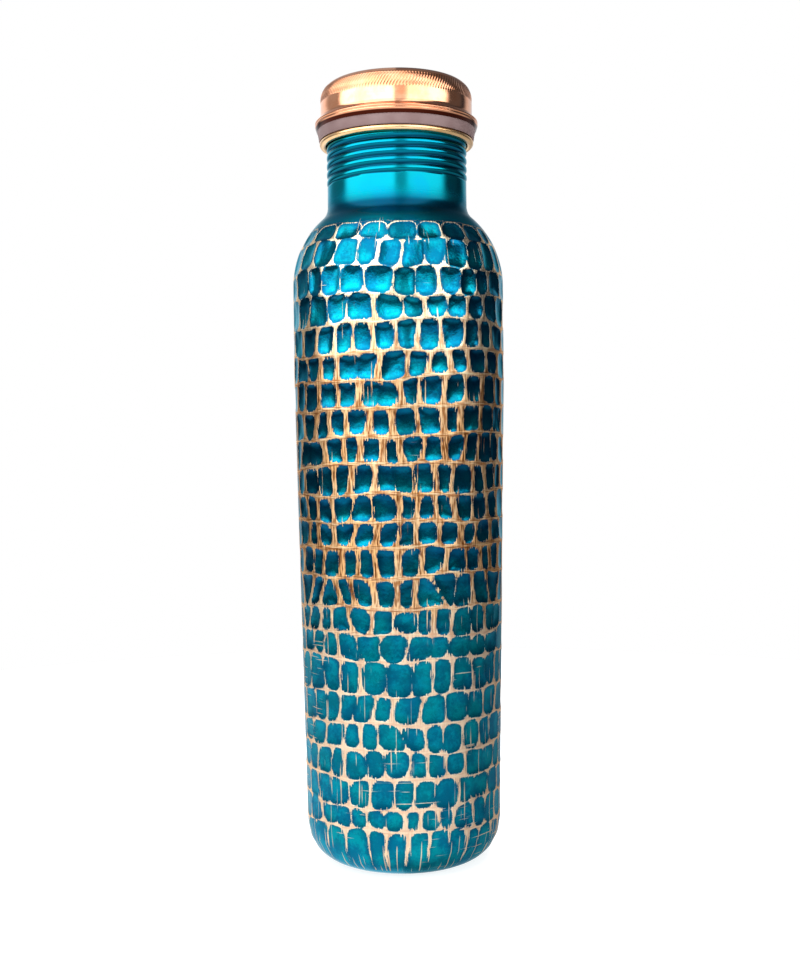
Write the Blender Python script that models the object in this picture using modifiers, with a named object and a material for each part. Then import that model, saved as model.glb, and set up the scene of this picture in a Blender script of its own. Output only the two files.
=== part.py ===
"""Hammered copper water bottle with a double-walled screw cap.

Run with: blender --background --python part.py

Frame: +Z up, origin at the centre of the foot ring that the bottle stands on. Metres.
The bottle is one seamless drawn shell: base, tapered body, shoulder and threaded neck.
The cap is a spun cover over a threaded cup, with a silicone ring that seals on the lip.
"""

import math

import bmesh
import bpy

# --- Bottle shell ------------------------------------------------------------------------
BODY_SHEET = 0.0006            # copper sheet
BASE_RADIUS = 0.0343           # outside, where the wall meets the base corner
BASE_CORNER = 0.0140           # outside radius of the rounded base corner
FOOT_RING_WIDTH = 0.0035       # flat ring that touches the table
RECESS_DEPTH = 0.0026          # how far the middle of the base is pushed up
RECESS_SLOPE = 0.0040          # radial run from the foot ring up to the recess
BODY_RADIUS = 0.0374           # outside, widest
SHOULDER_START = 0.2030        # height where the wall turns in
STRAIGHT_WALL = 0.0310         # upright wall under the shoulder, above the taper
SHOULDER_ROUND = 0.0312        # radius of the shoulder's outward curve
SHOULDER_COVE = 0.0065         # radius of the hollow curve into the neck
NECK_RADIUS = 0.0248           # outside of the plain part of the neck
NECK_LENGTH = 0.0375           # from the shoulder to the lip
LIP_ROLL = 0.00075             # radius of the lip, rolled inwards

# --- Thread, shared by the neck and the cap ----------------------------------------------
THREAD_PITCH = 0.0030
THREAD_DEPTH = 0.0006          # crest over root
THREAD_PROUD = 0.0002          # crest over the plain neck
THREAD_BASE_WIDTH = 0.0015
THREAD_CREST_WIDTH = 0.0007
THREAD_EMBED = 0.0003          # how far a ridge reaches into the wall that carries it
THREAD_CLEARANCE = 0.00025     # between a crest and the root that faces it
NECK_THREAD_START = 0.0078     # above the foot of the neck
THREAD_RUN_OUT = 0.0050        # plain neck between the thread and the lip, at least
CUP_THREAD_START = 0.0020      # at least this far above the cup's mouth
CUP_THREAD_HEADROOM = 0.0030   # plain wall between the cup's thread and the seal, at least

# --- Cap ---------------------------------------------------------------------------------
FIT_GAP = 0.0003               # between pieces that touch on the real object
GASKET_THICKNESS = 0.0015
GASKET_WIDTH = 0.0035
CUP_SHEET = 0.0008
CUP_DEPTH = 0.0182             # mouth to inside top
CUP_ROUND = 0.0016             # outside radius between the cup's wall and its top
CUP_LIP_ROLL = 0.0011          # radius of the rolled edge at the mouth
CUP_LIP_PROUD = 0.0014         # rolled edge over the cup's wall
COVER_SHEET = 0.0006
CUP_TO_COVER = 0.0004          # air between the cap's two walls
COVER_HEADROOM = 0.0029        # air between the cap's two tops
COVER_ROUND = 0.0059           # rounding between the cover's wall and its top
SKIRT_HEIGHT = 0.0030          # cover below the bead
SKIRT_END_PROUD = 0.0006       # skirt over the cover's wall, at its open end
SKIRT_ROOT_PROUD = 0.0011      # the same where it meets the bead
BEAD_PROUD = 0.0020            # bead over the cover's wall
BEAD_UNDERSIDE = 0.0012        # heights of the bead's three parts, from the skirt up
BEAD_CREST = 0.0017
BEAD_FILLET = 0.0024
BEAD_GROOVE = 0.0003           # depth and half width of the line round the bead

# --- Fineness ----------------------------------------------------------------------------
SEGMENTS = 48                  # facets round the axis
CORNER_STEPS = 5
SHOULDER_STEPS = 7
COVE_STEPS = 4
ROLL_STEPS = 6
EDGE_STEPS = 3

# --- Heights and radii that follow -------------------------------------------------------
TAPER_TOP = SHOULDER_START - STRAIGHT_WALL
SHOULDER_TURN = math.acos(1 - (BODY_RADIUS - NECK_RADIUS) / (SHOULDER_ROUND + SHOULDER_COVE))
NECK_FOOT = SHOULDER_START + (SHOULDER_ROUND + SHOULDER_COVE) * math.sin(SHOULDER_TURN)
LIP_HEIGHT = NECK_FOOT + NECK_LENGTH
THREAD_CREST = NECK_RADIUS + THREAD_PROUD
THREAD_ROOT = THREAD_CREST - THREAD_DEPTH
NECK_BORE = THREAD_ROOT - BODY_SHEET
NECK_THREAD_FOOT = NECK_FOOT + NECK_THREAD_START
NECK_THREAD_ROOM = NECK_LENGTH - NECK_THREAD_START - THREAD_RUN_OUT
NECK_THREAD_TURNS = math.floor(NECK_THREAD_ROOM / THREAD_PITCH)

CUP_BORE = THREAD_CREST + THREAD_CLEARANCE
CUP_THREAD_CREST = CUP_BORE - THREAD_DEPTH
CUP_RADIUS = CUP_BORE + CUP_SHEET
GASKET_BOTTOM = LIP_HEIGHT + FIT_GAP
GASKET_TOP = GASKET_BOTTOM + GASKET_THICKNESS
GASKET_RADIUS = CUP_BORE - FIT_GAP
CUP_INSIDE_TOP = GASKET_TOP + FIT_GAP
CUP_TOP = CUP_INSIDE_TOP + CUP_SHEET
CUP_MOUTH = CUP_INSIDE_TOP - CUP_DEPTH

# The cup's ridge starts as low as it may, midway between turns of the neck's.
CUP_THREAD_RISE = CUP_MOUTH + CUP_THREAD_START - NECK_THREAD_FOOT
CUP_THREAD_PLACE = math.ceil(CUP_THREAD_RISE / THREAD_PITCH - 0.5) + 0.5
CUP_THREAD_FOOT = NECK_THREAD_FOOT + CUP_THREAD_PLACE * THREAD_PITCH
CUP_THREAD_ROOM = GASKET_BOTTOM - CUP_THREAD_HEADROOM - CUP_THREAD_FOOT
CUP_THREAD_TURNS = math.floor(CUP_THREAD_ROOM / THREAD_PITCH)

COVER_BORE = CUP_RADIUS + CUP_TO_COVER
COVER_RADIUS = COVER_BORE + COVER_SHEET
COVER_TOP = CUP_TOP + COVER_HEADROOM + COVER_SHEET
SKIRT_END = CUP_MOUTH + 2 * CUP_LIP_ROLL + FIT_GAP
BEAD_BOTTOM = SKIRT_END + SKIRT_HEIGHT
BEAD_LOW = BEAD_BOTTOM + BEAD_UNDERSIDE
BEAD_HIGH = BEAD_LOW + BEAD_CREST
BEAD_TOP = BEAD_HIGH + BEAD_FILLET

# --- Materials: name, colour, roughness, metallic ----------------------------------------
TEAL_LACQUER = ("teal_lacquered_copper", (0.00, 0.24, 0.33, 1.0), 0.25, 1.0)
POLISHED_COPPER = ("polished_copper", (0.86, 0.45, 0.30, 1.0), 0.16, 1.0)
CUP_METAL = ("brassy_cup", (0.83, 0.56, 0.30, 1.0), 0.22, 1.0)
SILICONE = ("silicone", (0.80, 0.78, 0.74, 1.0), 0.60, 0.0)


def clear_scene():
    """Remove whatever the scene started with."""
    for old in list(bpy.data.objects):
        bpy.data.objects.remove(old)


def make_collection(name):
    """A new collection in the scene."""
    made = bpy.data.collections.new(name)
    bpy.context.scene.collection.children.link(made)
    return made


def make_material(settings):
    """A Principled material."""
    name, colour, roughness, metallic = settings
    material = bpy.data.materials.new(name)
    material.use_nodes = True
    shader = material.node_tree.nodes["Principled BSDF"]
    shader.inputs["Base Color"].default_value = colour
    shader.inputs["Roughness"].default_value = roughness
    shader.inputs["Metallic"].default_value = metallic
    material.diffuse_color = colour
    return material


def arc(centre, radius, start, end, steps):
    """Points (r, z) along an arc, angles in radians from +r towards +z."""
    points = []
    for step in range(steps + 1):
        angle = start + (end - start) * step / steps
        r = centre[0] + radius * math.cos(angle)
        z = centre[1] + radius * math.sin(angle)
        points.append((r, z))
    return points


def section_object(name, points, closed, angle, collection):
    """Edges through (r, z) points, in the half plane at this angle round Z."""
    edges = [(i, i + 1) for i in range(len(points) - 1)]
    if closed:
        edges.append((len(points) - 1, 0))
    corners = [(r * math.cos(angle), r * math.sin(angle), z) for r, z in points]
    mesh = bpy.data.meshes.new(name)
    mesh.from_pydata(corners, edges, [])
    made = bpy.data.objects.new(name, mesh)
    collection.objects.link(made)
    return made


def add_screw(obj, turns, pitch):
    """Carry the object's section round Z: one full turn, or a helix."""
    screw = obj.modifiers.new("Turn", "SCREW")
    screw.axis = "Z"
    screw.angle = 2 * math.pi * turns
    screw.screw_offset = pitch * turns
    screw.steps = SEGMENTS * turns
    screw.render_steps = SEGMENTS * turns
    screw.use_merge_vertices = pitch == 0
    screw.merge_threshold = 0.00001


def turned(name, profile, closed, material, collection):
    """A turned piece, from a profile that runs down its outer side."""
    made = section_object(name, profile, closed, 0.0, collection)
    add_screw(made, 1, 0)
    made.data.materials.append(material)
    return made


def cap_ends(obj):
    """Keep the evaluated mesh, with its open ends filled and its faces outwards."""
    bpy.context.view_layer.update()
    mesh = bpy.data.meshes.new_from_object(
        obj.evaluated_get(bpy.context.evaluated_depsgraph_get())
    )
    obj.modifiers.clear()
    shape = bmesh.new()
    shape.from_mesh(mesh)
    bmesh.ops.holes_fill(shape, edges=shape.edges, sides=0)
    bmesh.ops.recalc_face_normals(shape, faces=shape.faces)
    shape.to_mesh(obj.data)
    shape.free()


def add_thread(wall, root, crest, foot_height, turns, cutters):
    """Join a right-handed helical ridge to the wall, from its root to its crest."""
    outwards = math.copysign(1, crest - root)
    flank = (THREAD_BASE_WIDTH - THREAD_CREST_WIDTH) / 2 / THREAD_DEPTH
    half_foot = THREAD_BASE_WIDTH / 2 + flank * THREAD_EMBED
    half_crest = THREAD_CREST_WIDTH / 2
    foot = root - outwards * THREAD_EMBED
    section = [
        (foot, foot_height + half_foot),
        (crest, foot_height + half_crest),
        (crest, foot_height - half_crest),
        (foot, foot_height - half_foot),
    ]
    at_the_back = math.pi * (0.5 + 1 / SEGMENTS)
    ridge = section_object(wall.name + "_ridge", section, True, at_the_back, cutters)
    add_screw(ridge, turns, THREAD_PITCH)
    cap_ends(ridge)
    ridge.hide_render = True
    ridge.display_type = "WIRE"
    union = wall.modifiers.new("Thread", "BOOLEAN")
    union.operation = "UNION"
    union.solver = "EXACT"
    union.object = ridge


def shoulder_curve(sheet):
    """Neck, cove and shoulder of one face of the shell, from the neck down.

    The outside face has no sheet taken off; the inside face is one sheet further in.
    """
    cove_centre = (NECK_RADIUS + SHOULDER_COVE, NECK_FOOT)
    round_centre = (BODY_RADIUS - SHOULDER_ROUND, SHOULDER_START)
    cove = arc(
        cove_centre, SHOULDER_COVE + sheet, math.pi, math.pi + SHOULDER_TURN, COVE_STEPS
    )
    shoulder = arc(
        round_centre, SHOULDER_ROUND - sheet, SHOULDER_TURN, 0, SHOULDER_STEPS
    )
    return cove + shoulder[1:]


def base_curve(sheet):
    """Taper and base of one face of the shell, from the widest point to the axis."""
    foot_outer = BASE_RADIUS - BASE_CORNER
    foot_inner = foot_outer - FOOT_RING_WIDTH
    corner = arc((foot_outer, BASE_CORNER), BASE_CORNER - sheet, 0, -math.pi / 2, CORNER_STEPS)
    recess = RECESS_DEPTH + sheet
    points = [(BODY_RADIUS - sheet, TAPER_TOP)]
    points += corner
    points += [(foot_inner, sheet), (foot_inner - RECESS_SLOPE, recess), (0.0, recess)]
    return points


def bottle_profile():
    """The shell's section: from the axis up the inside, over the lip, down the outside."""
    inside = shoulder_curve(BODY_SHEET) + base_curve(BODY_SHEET)
    profile = list(reversed(inside))
    profile.append((NECK_BORE, NECK_FOOT + NECK_RADIUS - NECK_BORE))
    profile.append((NECK_BORE, LIP_HEIGHT - 2 * LIP_ROLL))
    lip_centre = (THREAD_ROOT - LIP_ROLL, LIP_HEIGHT - LIP_ROLL)
    profile += arc(lip_centre, LIP_ROLL, 1.5 * math.pi, 0, ROLL_STEPS)
    thread_end = NECK_THREAD_FOOT - THREAD_BASE_WIDTH
    profile.append((THREAD_ROOT, thread_end))
    profile.append((NECK_RADIUS, thread_end - THREAD_DEPTH))
    return profile + shoulder_curve(0.0) + base_curve(0.0)


def cup_profile():
    """The threaded cup: closed top, straight wall, edge rolled outwards at the mouth."""
    roll_centre = (CUP_RADIUS + CUP_LIP_PROUD - CUP_LIP_ROLL, CUP_MOUTH + CUP_LIP_ROLL)
    round_centre = (CUP_RADIUS - CUP_ROUND, CUP_TOP - CUP_ROUND)
    quarter = math.pi / 2
    profile = [(0.0, CUP_TOP)]
    profile += arc(round_centre, CUP_ROUND, quarter, 0, EDGE_STEPS)
    profile.append((CUP_RADIUS, CUP_MOUTH + 2 * CUP_LIP_ROLL))
    profile += arc(roll_centre, CUP_LIP_ROLL, quarter, -quarter, ROLL_STEPS)
    profile.append((CUP_BORE + FIT_GAP, CUP_MOUTH))
    profile.append((CUP_BORE, CUP_MOUTH + FIT_GAP))
    profile += arc(round_centre, CUP_ROUND - CUP_SHEET, 0, quarter, EDGE_STEPS)
    profile.append((0.0, CUP_INSIDE_TOP))
    return profile


def cover_profile():
    """The cap's cover: top, round shoulder, wall, grooved bead and skirt."""
    quarter = math.pi / 2
    round_centre = (COVER_RADIUS - COVER_ROUND, COVER_TOP - COVER_ROUND)
    bead = COVER_RADIUS + BEAD_PROUD
    bead_middle = (BEAD_LOW + BEAD_HIGH) / 2
    skirt_root = COVER_RADIUS + SKIRT_ROOT_PROUD
    skirt_end = COVER_RADIUS + SKIRT_END_PROUD
    profile = [(0.0, COVER_TOP)]
    profile += arc(round_centre, COVER_ROUND, quarter, 0, CORNER_STEPS)
    profile += [
        (COVER_RADIUS, BEAD_TOP),
        (COVER_RADIUS + BEAD_PROUD / 3, BEAD_HIGH + BEAD_FILLET / 3),
        (bead, BEAD_HIGH),
        (bead, bead_middle + BEAD_GROOVE),
        (bead - BEAD_GROOVE, bead_middle),
        (bead, bead_middle - BEAD_GROOVE),
        (bead, BEAD_LOW),
        (skirt_root, BEAD_BOTTOM),
        (skirt_end, SKIRT_END),
        (skirt_end - COVER_SHEET, SKIRT_END),
        (skirt_root - COVER_SHEET, BEAD_BOTTOM),
        (bead - COVER_SHEET - BEAD_GROOVE, BEAD_LOW),
        (bead - COVER_SHEET - BEAD_GROOVE, BEAD_HIGH),
        (COVER_BORE, BEAD_TOP),
    ]
    profile += arc(round_centre, COVER_ROUND - COVER_SHEET, 0, quarter, CORNER_STEPS)
    profile.append((0.0, COVER_TOP - COVER_SHEET))
    return profile


def gasket_profile():
    """The silicone ring's section, with its upper edges eased."""
    inner = GASKET_RADIUS - GASKET_WIDTH
    ease = GASKET_THICKNESS / 3
    return [
        (inner, GASKET_TOP - ease),
        (inner + ease, GASKET_TOP),
        (GASKET_RADIUS - ease, GASKET_TOP),
        (GASKET_RADIUS, GASKET_TOP - ease),
        (GASKET_RADIUS, GASKET_BOTTOM),
        (inner, GASKET_BOTTOM),
    ]


def main():
    clear_scene()
    parts = make_collection("copper_water_bottle")
    cutters = make_collection("thread_ridges")
    cutters.hide_render = True

    bottle = turned(
        "bottle_body", bottle_profile(), False, make_material(TEAL_LACQUER), parts
    )
    add_thread(
        bottle, THREAD_ROOT, THREAD_CREST, NECK_THREAD_FOOT, NECK_THREAD_TURNS, cutters
    )
    cup = turned("cap_thread_cup", cup_profile(), False, make_material(CUP_METAL), parts)
    add_thread(
        cup, CUP_BORE, CUP_THREAD_CREST, CUP_THREAD_FOOT, CUP_THREAD_TURNS, cutters
    )
    turned("cap_cover", cover_profile(), False, make_material(POLISHED_COPPER), parts)
    turned("cap_gasket", gasket_profile(), True, make_material(SILICONE), parts)


main()
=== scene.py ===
"""Looks of the hammered copper water bottle: fine surfaces, materials, light and camera.

Lengths in this file are in millimetres until a mesh is made; the scene is in metres.
The bottle stands on Z = 0 with its axis on Z. Angle 0 is +X, and the front is -Y.
"""

import math

import bpy
import numpy as np
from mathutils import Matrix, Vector, noise


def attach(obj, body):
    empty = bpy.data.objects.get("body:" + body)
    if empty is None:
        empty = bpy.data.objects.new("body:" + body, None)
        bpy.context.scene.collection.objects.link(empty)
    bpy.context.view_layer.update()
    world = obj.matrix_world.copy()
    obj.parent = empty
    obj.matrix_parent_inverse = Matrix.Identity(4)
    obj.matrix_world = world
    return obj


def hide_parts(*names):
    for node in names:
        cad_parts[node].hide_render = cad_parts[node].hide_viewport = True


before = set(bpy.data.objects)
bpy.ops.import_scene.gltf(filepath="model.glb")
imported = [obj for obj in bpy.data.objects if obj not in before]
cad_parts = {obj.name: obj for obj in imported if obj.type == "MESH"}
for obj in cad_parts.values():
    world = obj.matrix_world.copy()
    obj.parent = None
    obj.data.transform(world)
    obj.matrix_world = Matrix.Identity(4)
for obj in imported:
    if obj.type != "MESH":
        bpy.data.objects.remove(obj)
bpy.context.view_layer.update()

MM = 0.001
TAU = 2 * math.pi

# --- Sizes shared with the CAD, in millimetres ------------------------------------------
BODY_SHEET = 0.6
BASE_RADIUS = 34.3
BASE_CORNER = 14.0
FOOT_RING_WIDTH = 3.5
RECESS_DEPTH = 2.6
RECESS_SLOPE = 4.0
BODY_RADIUS = 37.4
TAPER_TOP = 172.0
SHOULDER_START = 203.0
SHOULDER_ROUND = 31.2
SHOULDER_COVE = 6.5
NECK_RADIUS = 24.8
NECK_LENGTH = 37.5
LIP_ROLL = 0.75
THREAD_PITCH = 3.0
THREAD_DEPTH = 0.6
THREAD_PROUD = 0.2
THREAD_CLEARANCE = 0.25
NECK_THREAD_START = 7.8
NECK_THREAD_TURNS = 8
CUP_THREAD_TURNS = 3
CUP_THREAD_START = 2.0
FIT_GAP = 0.3
GASKET_THICKNESS = 1.5
GASKET_WIDTH = 3.5
CUP_SHEET = 0.8
CUP_DEPTH = 18.2
CUP_ROUND = 1.6
CUP_LIP_ROLL = 1.1
CUP_LIP_PROUD = 1.4
COVER_SHEET = 0.6
CUP_TO_COVER = 0.4
COVER_HEADROOM = 2.9
COVER_ROUND = 5.9
SKIRT_HEIGHT = 3.0
SKIRT_END_PROUD = 0.6
SKIRT_ROOT_PROUD = 1.1
BEAD_PROUD = 2.0
BEAD_UNDERSIDE = 1.2
BEAD_CREST = 1.7
BEAD_FILLET = 2.4

SHOULDER_TURN = math.acos(1 - (BODY_RADIUS - NECK_RADIUS) / (SHOULDER_ROUND + SHOULDER_COVE))
NECK_FOOT = SHOULDER_START + (SHOULDER_ROUND + SHOULDER_COVE) * math.sin(SHOULDER_TURN)
LIP_HEIGHT = NECK_FOOT + NECK_LENGTH
THREAD_CREST = NECK_RADIUS + THREAD_PROUD
THREAD_ROOT = THREAD_CREST - THREAD_DEPTH
NECK_BORE = THREAD_ROOT - BODY_SHEET
NECK_THREAD_FOOT = NECK_FOOT + NECK_THREAD_START
LIP_CENTRE = (THREAD_ROOT - LIP_ROLL, LIP_HEIGHT - LIP_ROLL)
THREAD_ANGLE = math.pi * (0.5 + 1 / 48)     # where both threads begin
CUP_BORE = THREAD_CREST + THREAD_CLEARANCE
CUP_RADIUS = CUP_BORE + CUP_SHEET
GASKET_BOTTOM = LIP_HEIGHT + FIT_GAP
GASKET_TOP = GASKET_BOTTOM + GASKET_THICKNESS
GASKET_RADIUS = CUP_BORE - FIT_GAP
CUP_INSIDE_TOP = GASKET_TOP + FIT_GAP
CUP_TOP = CUP_INSIDE_TOP + CUP_SHEET
CUP_MOUTH = CUP_INSIDE_TOP - CUP_DEPTH
COVER_BORE = CUP_RADIUS + CUP_TO_COVER
COVER_RADIUS = COVER_BORE + COVER_SHEET
COVER_TOP = CUP_TOP + COVER_HEADROOM + COVER_SHEET
SKIRT_END = CUP_MOUTH + 2 * CUP_LIP_ROLL + FIT_GAP
BEAD_BOTTOM = SKIRT_END + SKIRT_HEIGHT
BEAD_LOW = BEAD_BOTTOM + BEAD_UNDERSIDE
BEAD_HIGH = BEAD_LOW + BEAD_CREST
BEAD_TOP = BEAD_HIGH + BEAD_FILLET

# --- The hammered pattern ----------------------------------------------------------------
# Heights of the ridge lines between rows of dimples, from the bottom of the last row up.
ROW_LINES = [
    3.0, 17.4, 25.2, 34.5, 43.9, 53.0, 63.0, 74.6, 82.9, 91.6, 102.4, 112.0,
    120.6, 129.8, 139.6, 149.0, 158.9, 168.6, 177.5, 187.3, 196.5, 205.8, 215.3, 221.8,
]
SHELL_MAP = 1100.0             # mm of the shell's profile to one map height
CAP_MAP = 260.0                # the same for the cover and the cup
COLUMNS = 288                  # mesh columns round the body
NECK_COLUMNS = 144
CELL_WIDTH_LOW, CELL_WIDTH_TOP = 7.3, 8.6
KNURLS = 156                   # slanted strokes round the cover's shoulder
KNURL_DEPTH = 0.13
KNURL_BOTTOM = COVER_TOP - COVER_ROUND - 1.6
KNURL_ANGLE = math.radians(38)              # how far up the rounding they reach
KNURL_TOP = COVER_TOP - COVER_ROUND + COVER_ROUND * math.sin(KNURL_ANGLE)
KNURL_LEAN = 0.55 / COVER_RADIUS            # turn for each mm they climb
HAMMER_ROOM = 0.3              # how far the inside wall stands back behind the dimples
ROW_STEPS = [0.0, 0.55, 1.1, 1.9, 3.1]      # mesh rows above a ridge line, mirrored below
WIDENING_ROWS = (130, 205)      # heights between which the cells grow wider and deeper
UNEVEN_ROW = (91, 103)          # the one row whose cell walls lean every way
SMOOTH = {"ridge": -2.0, "line": 4.0, "level": 0.5}     # lacquered wall without dimples

# Heights between which the finish of the shell changes; each pair is a soft edge.
LOW_ROWS_END = (70.0, 105.0)            # below: flat cells and pale, pinkish copper, the paleness a painted highlight
MID_ROWS = ((80.0, 110.0), (160.0, 190.0))      # between: wide, streaky copper, darker from its brown streaks and from painted shade
HIGH_ROWS_START = (165.0, 205.0)        # above: deep, shiny cells and bright, thin lines, their pale copper a painted highlight
TOP_ROW_START = (216.8, 218.6)          # above: only a thin outline round each cell is bare
FOOT_END = (10.0, 24.0)                 # below: long scratches down to the base


def smooth(x, low, high):
    """0 below low, 1 above high, eased between."""
    t = np.clip((x - low) / (high - low), 0.0, 1.0)
    return t * t * (3 - 2 * t)


def arc(centre, radius, start, end, steps):
    """Points (r, z) along an arc."""
    angles = np.linspace(start, end, steps + 1)
    return [(centre[0] + radius * math.cos(a), centre[1] + radius * math.sin(a)) for a in angles]


class Skin:
    """Rings of points round Z, joined to each other, with an unrolled map."""

    def __init__(self):
        self.points = []
        self.faces = []
        self.maps = []
        self.slots = []
        self.fields = {}
        self.last = None
        self.slot = 0

    def ring(self, r, z, v, turn=0.0, **fields):
        """Adds a ring of points at angles 0 to TAU and joins it to the ring before.

        r and z are arrays with one value a column, v is the ring's place in the map.
        """
        columns = len(r)
        angle = np.arange(columns) * TAU / columns + turn
        start = len(self.points)
        self.hold(fields, columns)
        self.points += list(zip(r * np.cos(angle), r * np.sin(angle), z))
        new = (start, columns, v)
        if self.last is not None:
            self.join(self.last, new)
        self.last = new

    def lay(self, points, columns, v, step, **fields):
        """Adds a ring at each (r, z), a step further on in the map each time."""
        ones = np.ones(columns)
        for r, z in points:
            v += step
            self.ring(ones * r, ones * z, v, **fields)
        return v

    def hold(self, fields, count):
        """Keeps the values of the next points, which the materials read."""
        for name, value in fields.items():
            held = self.fields.setdefault(name, [])
            held += [0.0] * (len(self.points) - len(held))
            held += list(np.broadcast_to(value, (count,)))

    def point(self, z, v, **fields):
        """Ends or begins the skin on the axis."""
        index = len(self.points)
        self.hold(fields, 1)
        self.points.append((0.0, 0.0, z))
        if self.last is None:
            self.last = (index, 1, v)
            return
        start, columns, before = self.last
        for i in range(columns):
            self.add(
                [(start + i, i / columns, before),
                 (start + (i + 1) % columns, (i + 1) / columns, before),
                 (index, (i + 0.5) / columns, v)]
            )
        self.last = None

    def add(self, corners):
        """Adds a face; each corner is a point's number and its two map values."""
        self.faces.append([c[0] for c in corners])
        self.maps.append([(c[1], c[2]) for c in corners])
        self.slots.append(self.slot)

    def join(self, low, high):
        """Faces between two rings of as many columns, or one of twice as many, or from a point."""
        a, n, va = low
        b, m, vb = high
        if n == 1:
            for i in range(m):
                j = (i + 1) % m
                self.add([(a, (i + 0.5) / m, va), (b + j, (i + 1) / m, vb), (b + i, i / m, vb)])
        elif n == m:
            for i in range(n):
                j = (i + 1) % n
                left, right = i / n, (i + 1) / n
                self.add([(a + i, left, va), (a + j, right, va), (b + j, right, vb), (b + i, left, vb)])
        else:
            (f, fine, vf), (c, coarse, vc) = (low, high) if n > m else (high, low)
            for i in range(coarse):
                left, middle, right = i / coarse, (i + 0.5) / coarse, (i + 1) / coarse
                f0 = (f + 2 * i, left, vf)
                f1 = (f + 2 * i + 1, middle, vf)
                f2 = (f + (2 * i + 2) % fine, right, vf)
                c0 = (c + i, left, vc)
                c1 = (c + (i + 1) % coarse, right, vc)
                for corners in ([f0, f1, c0], [f1, c1, c0], [f1, f2, c1]):
                    self.add(corners if n > m else corners[::-1])

    def object(self, name, materials):
        """The finished object, in metres."""
        mesh = bpy.data.meshes.new(name)
        points = [(x * MM, y * MM, z * MM) for x, y, z in self.points]
        mesh.from_pydata(points, [], self.faces)
        for material in materials:
            mesh.materials.append(material)
        mesh.polygons.foreach_set("material_index", self.slots)
        mesh.polygons.foreach_set("use_smooth", [True] * len(self.faces))
        uv = mesh.uv_layers.new(name="OFBake")
        uv.data.foreach_set("uv", np.array([c for face in self.maps for c in face]).ravel())
        for field, values in self.fields.items():
            values = values + [0.0] * (len(self.points) - len(values))
            made = mesh.attributes.new(field, "FLOAT", "POINT")
            made.data.foreach_set("value", values)
        mesh.update()
        made = bpy.data.objects.new(name, mesh)
        bpy.context.scene.collection.objects.link(made)
        return made


# --- Profile of the bottle ---------------------------------------------------------------
def foot_points(sheet):
    """From the base's middle to the start of the corner, (r, z)."""
    outer = BASE_RADIUS - BASE_CORNER
    inner = outer - FOOT_RING_WIDTH
    recess = inner - RECESS_SLOPE
    blend = 1.2
    return [
        (0.0, RECESS_DEPTH + sheet),
        (recess * 0.5, RECESS_DEPTH + sheet),
        (recess - blend, RECESS_DEPTH + sheet),
        (recess + blend * 0.4, RECESS_DEPTH * 0.9 + sheet),
        (inner - blend * 0.4, RECESS_DEPTH * 0.1 + sheet),
        (inner + blend, sheet),
        (outer - blend, sheet),
    ]


def wall_points(sheet, fine):
    """Corner, tapered wall, shoulder and cove of one face of the shell, from the foot up."""
    corner = arc(
        (BASE_RADIUS - BASE_CORNER, BASE_CORNER), BASE_CORNER - sheet, -math.pi / 2, 0, fine
    )
    shoulder = arc(
        (BODY_RADIUS - SHOULDER_ROUND, SHOULDER_START), SHOULDER_ROUND - sheet,
        0, SHOULDER_TURN, fine * 2,
    )
    cove = arc(
        (NECK_RADIUS + SHOULDER_COVE, NECK_FOOT), SHOULDER_COVE + sheet,
        math.pi + SHOULDER_TURN, math.pi, fine,
    )
    return corner + [(BODY_RADIUS - sheet, TAPER_TOP)] + shoulder + cove[1:]


class Path:
    """A profile with points by arc length or by height."""

    def __init__(self, points):
        self.p = np.array(points)
        steps = np.hypot(*np.diff(self.p, axis=0).T)
        self.s = np.concatenate([[0.0], np.cumsum(steps)])
        way = np.gradient(self.p, self.s, axis=0)
        way /= np.linalg.norm(way, axis=1)[:, None]
        self.out = np.stack([way[:, 1], -way[:, 0]], axis=1)

    def at_height(self, z):
        return np.interp(z, self.p[:, 1], self.s)

    def at(self, s):
        """r, z, and the outward direction's r and z, at arc length s."""
        return [np.interp(s, self.s, column) for column in (*self.p.T, *self.out.T)]


def thread_shape(angle, z, foot, turns):
    """Height of a helical ridge, 0 to 1 with wide crests, and whether the thread is there."""
    part = ((angle - THREAD_ANGLE) / TAU) % 1.0
    along = (z - foot) / THREAD_PITCH - part
    turn = np.round(along) + part
    crest = 0.5 + 0.5 * np.cos(TAU * (along - np.round(along)))
    there = smooth(turn, 0.0, 0.35) * (1 - smooth(turn, turns - 0.2, turns))
    return crest, there


# --- Dimples -----------------------------------------------------------------------------
def wave(rng, angle, sizes):
    """A slow wander round the bottle."""
    value = np.zeros_like(angle)
    for turns, size in sizes:
        value += size * np.sin(turns * angle + rng.uniform(0, TAU))
    return value


def ragged(x, y, z, scale, seed):
    """Smooth noise in -1 to 1 at points given in millimetres."""
    offset = seed * 17.3
    return np.array([
        noise.noise(Vector((a * scale + offset, b * scale, c * scale)))
        for a, b, c in zip(x, y, z)
    ])


def row_lines(rng, angle, path):
    """The wandering lines between rows, as lengths along the wall, and half of each line's width."""
    last = len(ROW_LINES) - 1
    lines, half_widths = [], []
    for k, height in enumerate(ROW_LINES):
        lean = smooth(height, 90, 150) * (1 - smooth(height, 175, 200))
        edge = 0.4 if k in (0, last) else 1.0
        line = path.at_height(height) + lean * np.cos(angle)
        line += edge * wave(rng, angle, [(2, 0.45), (3, 0.4), (5, 0.35), (9, 0.25), (14, 0.18)])
        lines.append(line)
    for height in ROW_LINES:
        near_top = float(smooth(height, 185, 205))
        uneven = wave(rng, angle, [(4, 0.12), (9, 0.1), (17, 0.08)]) * (1 - 0.6 * near_top)
        half_widths.append(rng.uniform(0.22, 0.42) + uneven - 0.13 * near_top)
    return lines, half_widths


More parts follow.
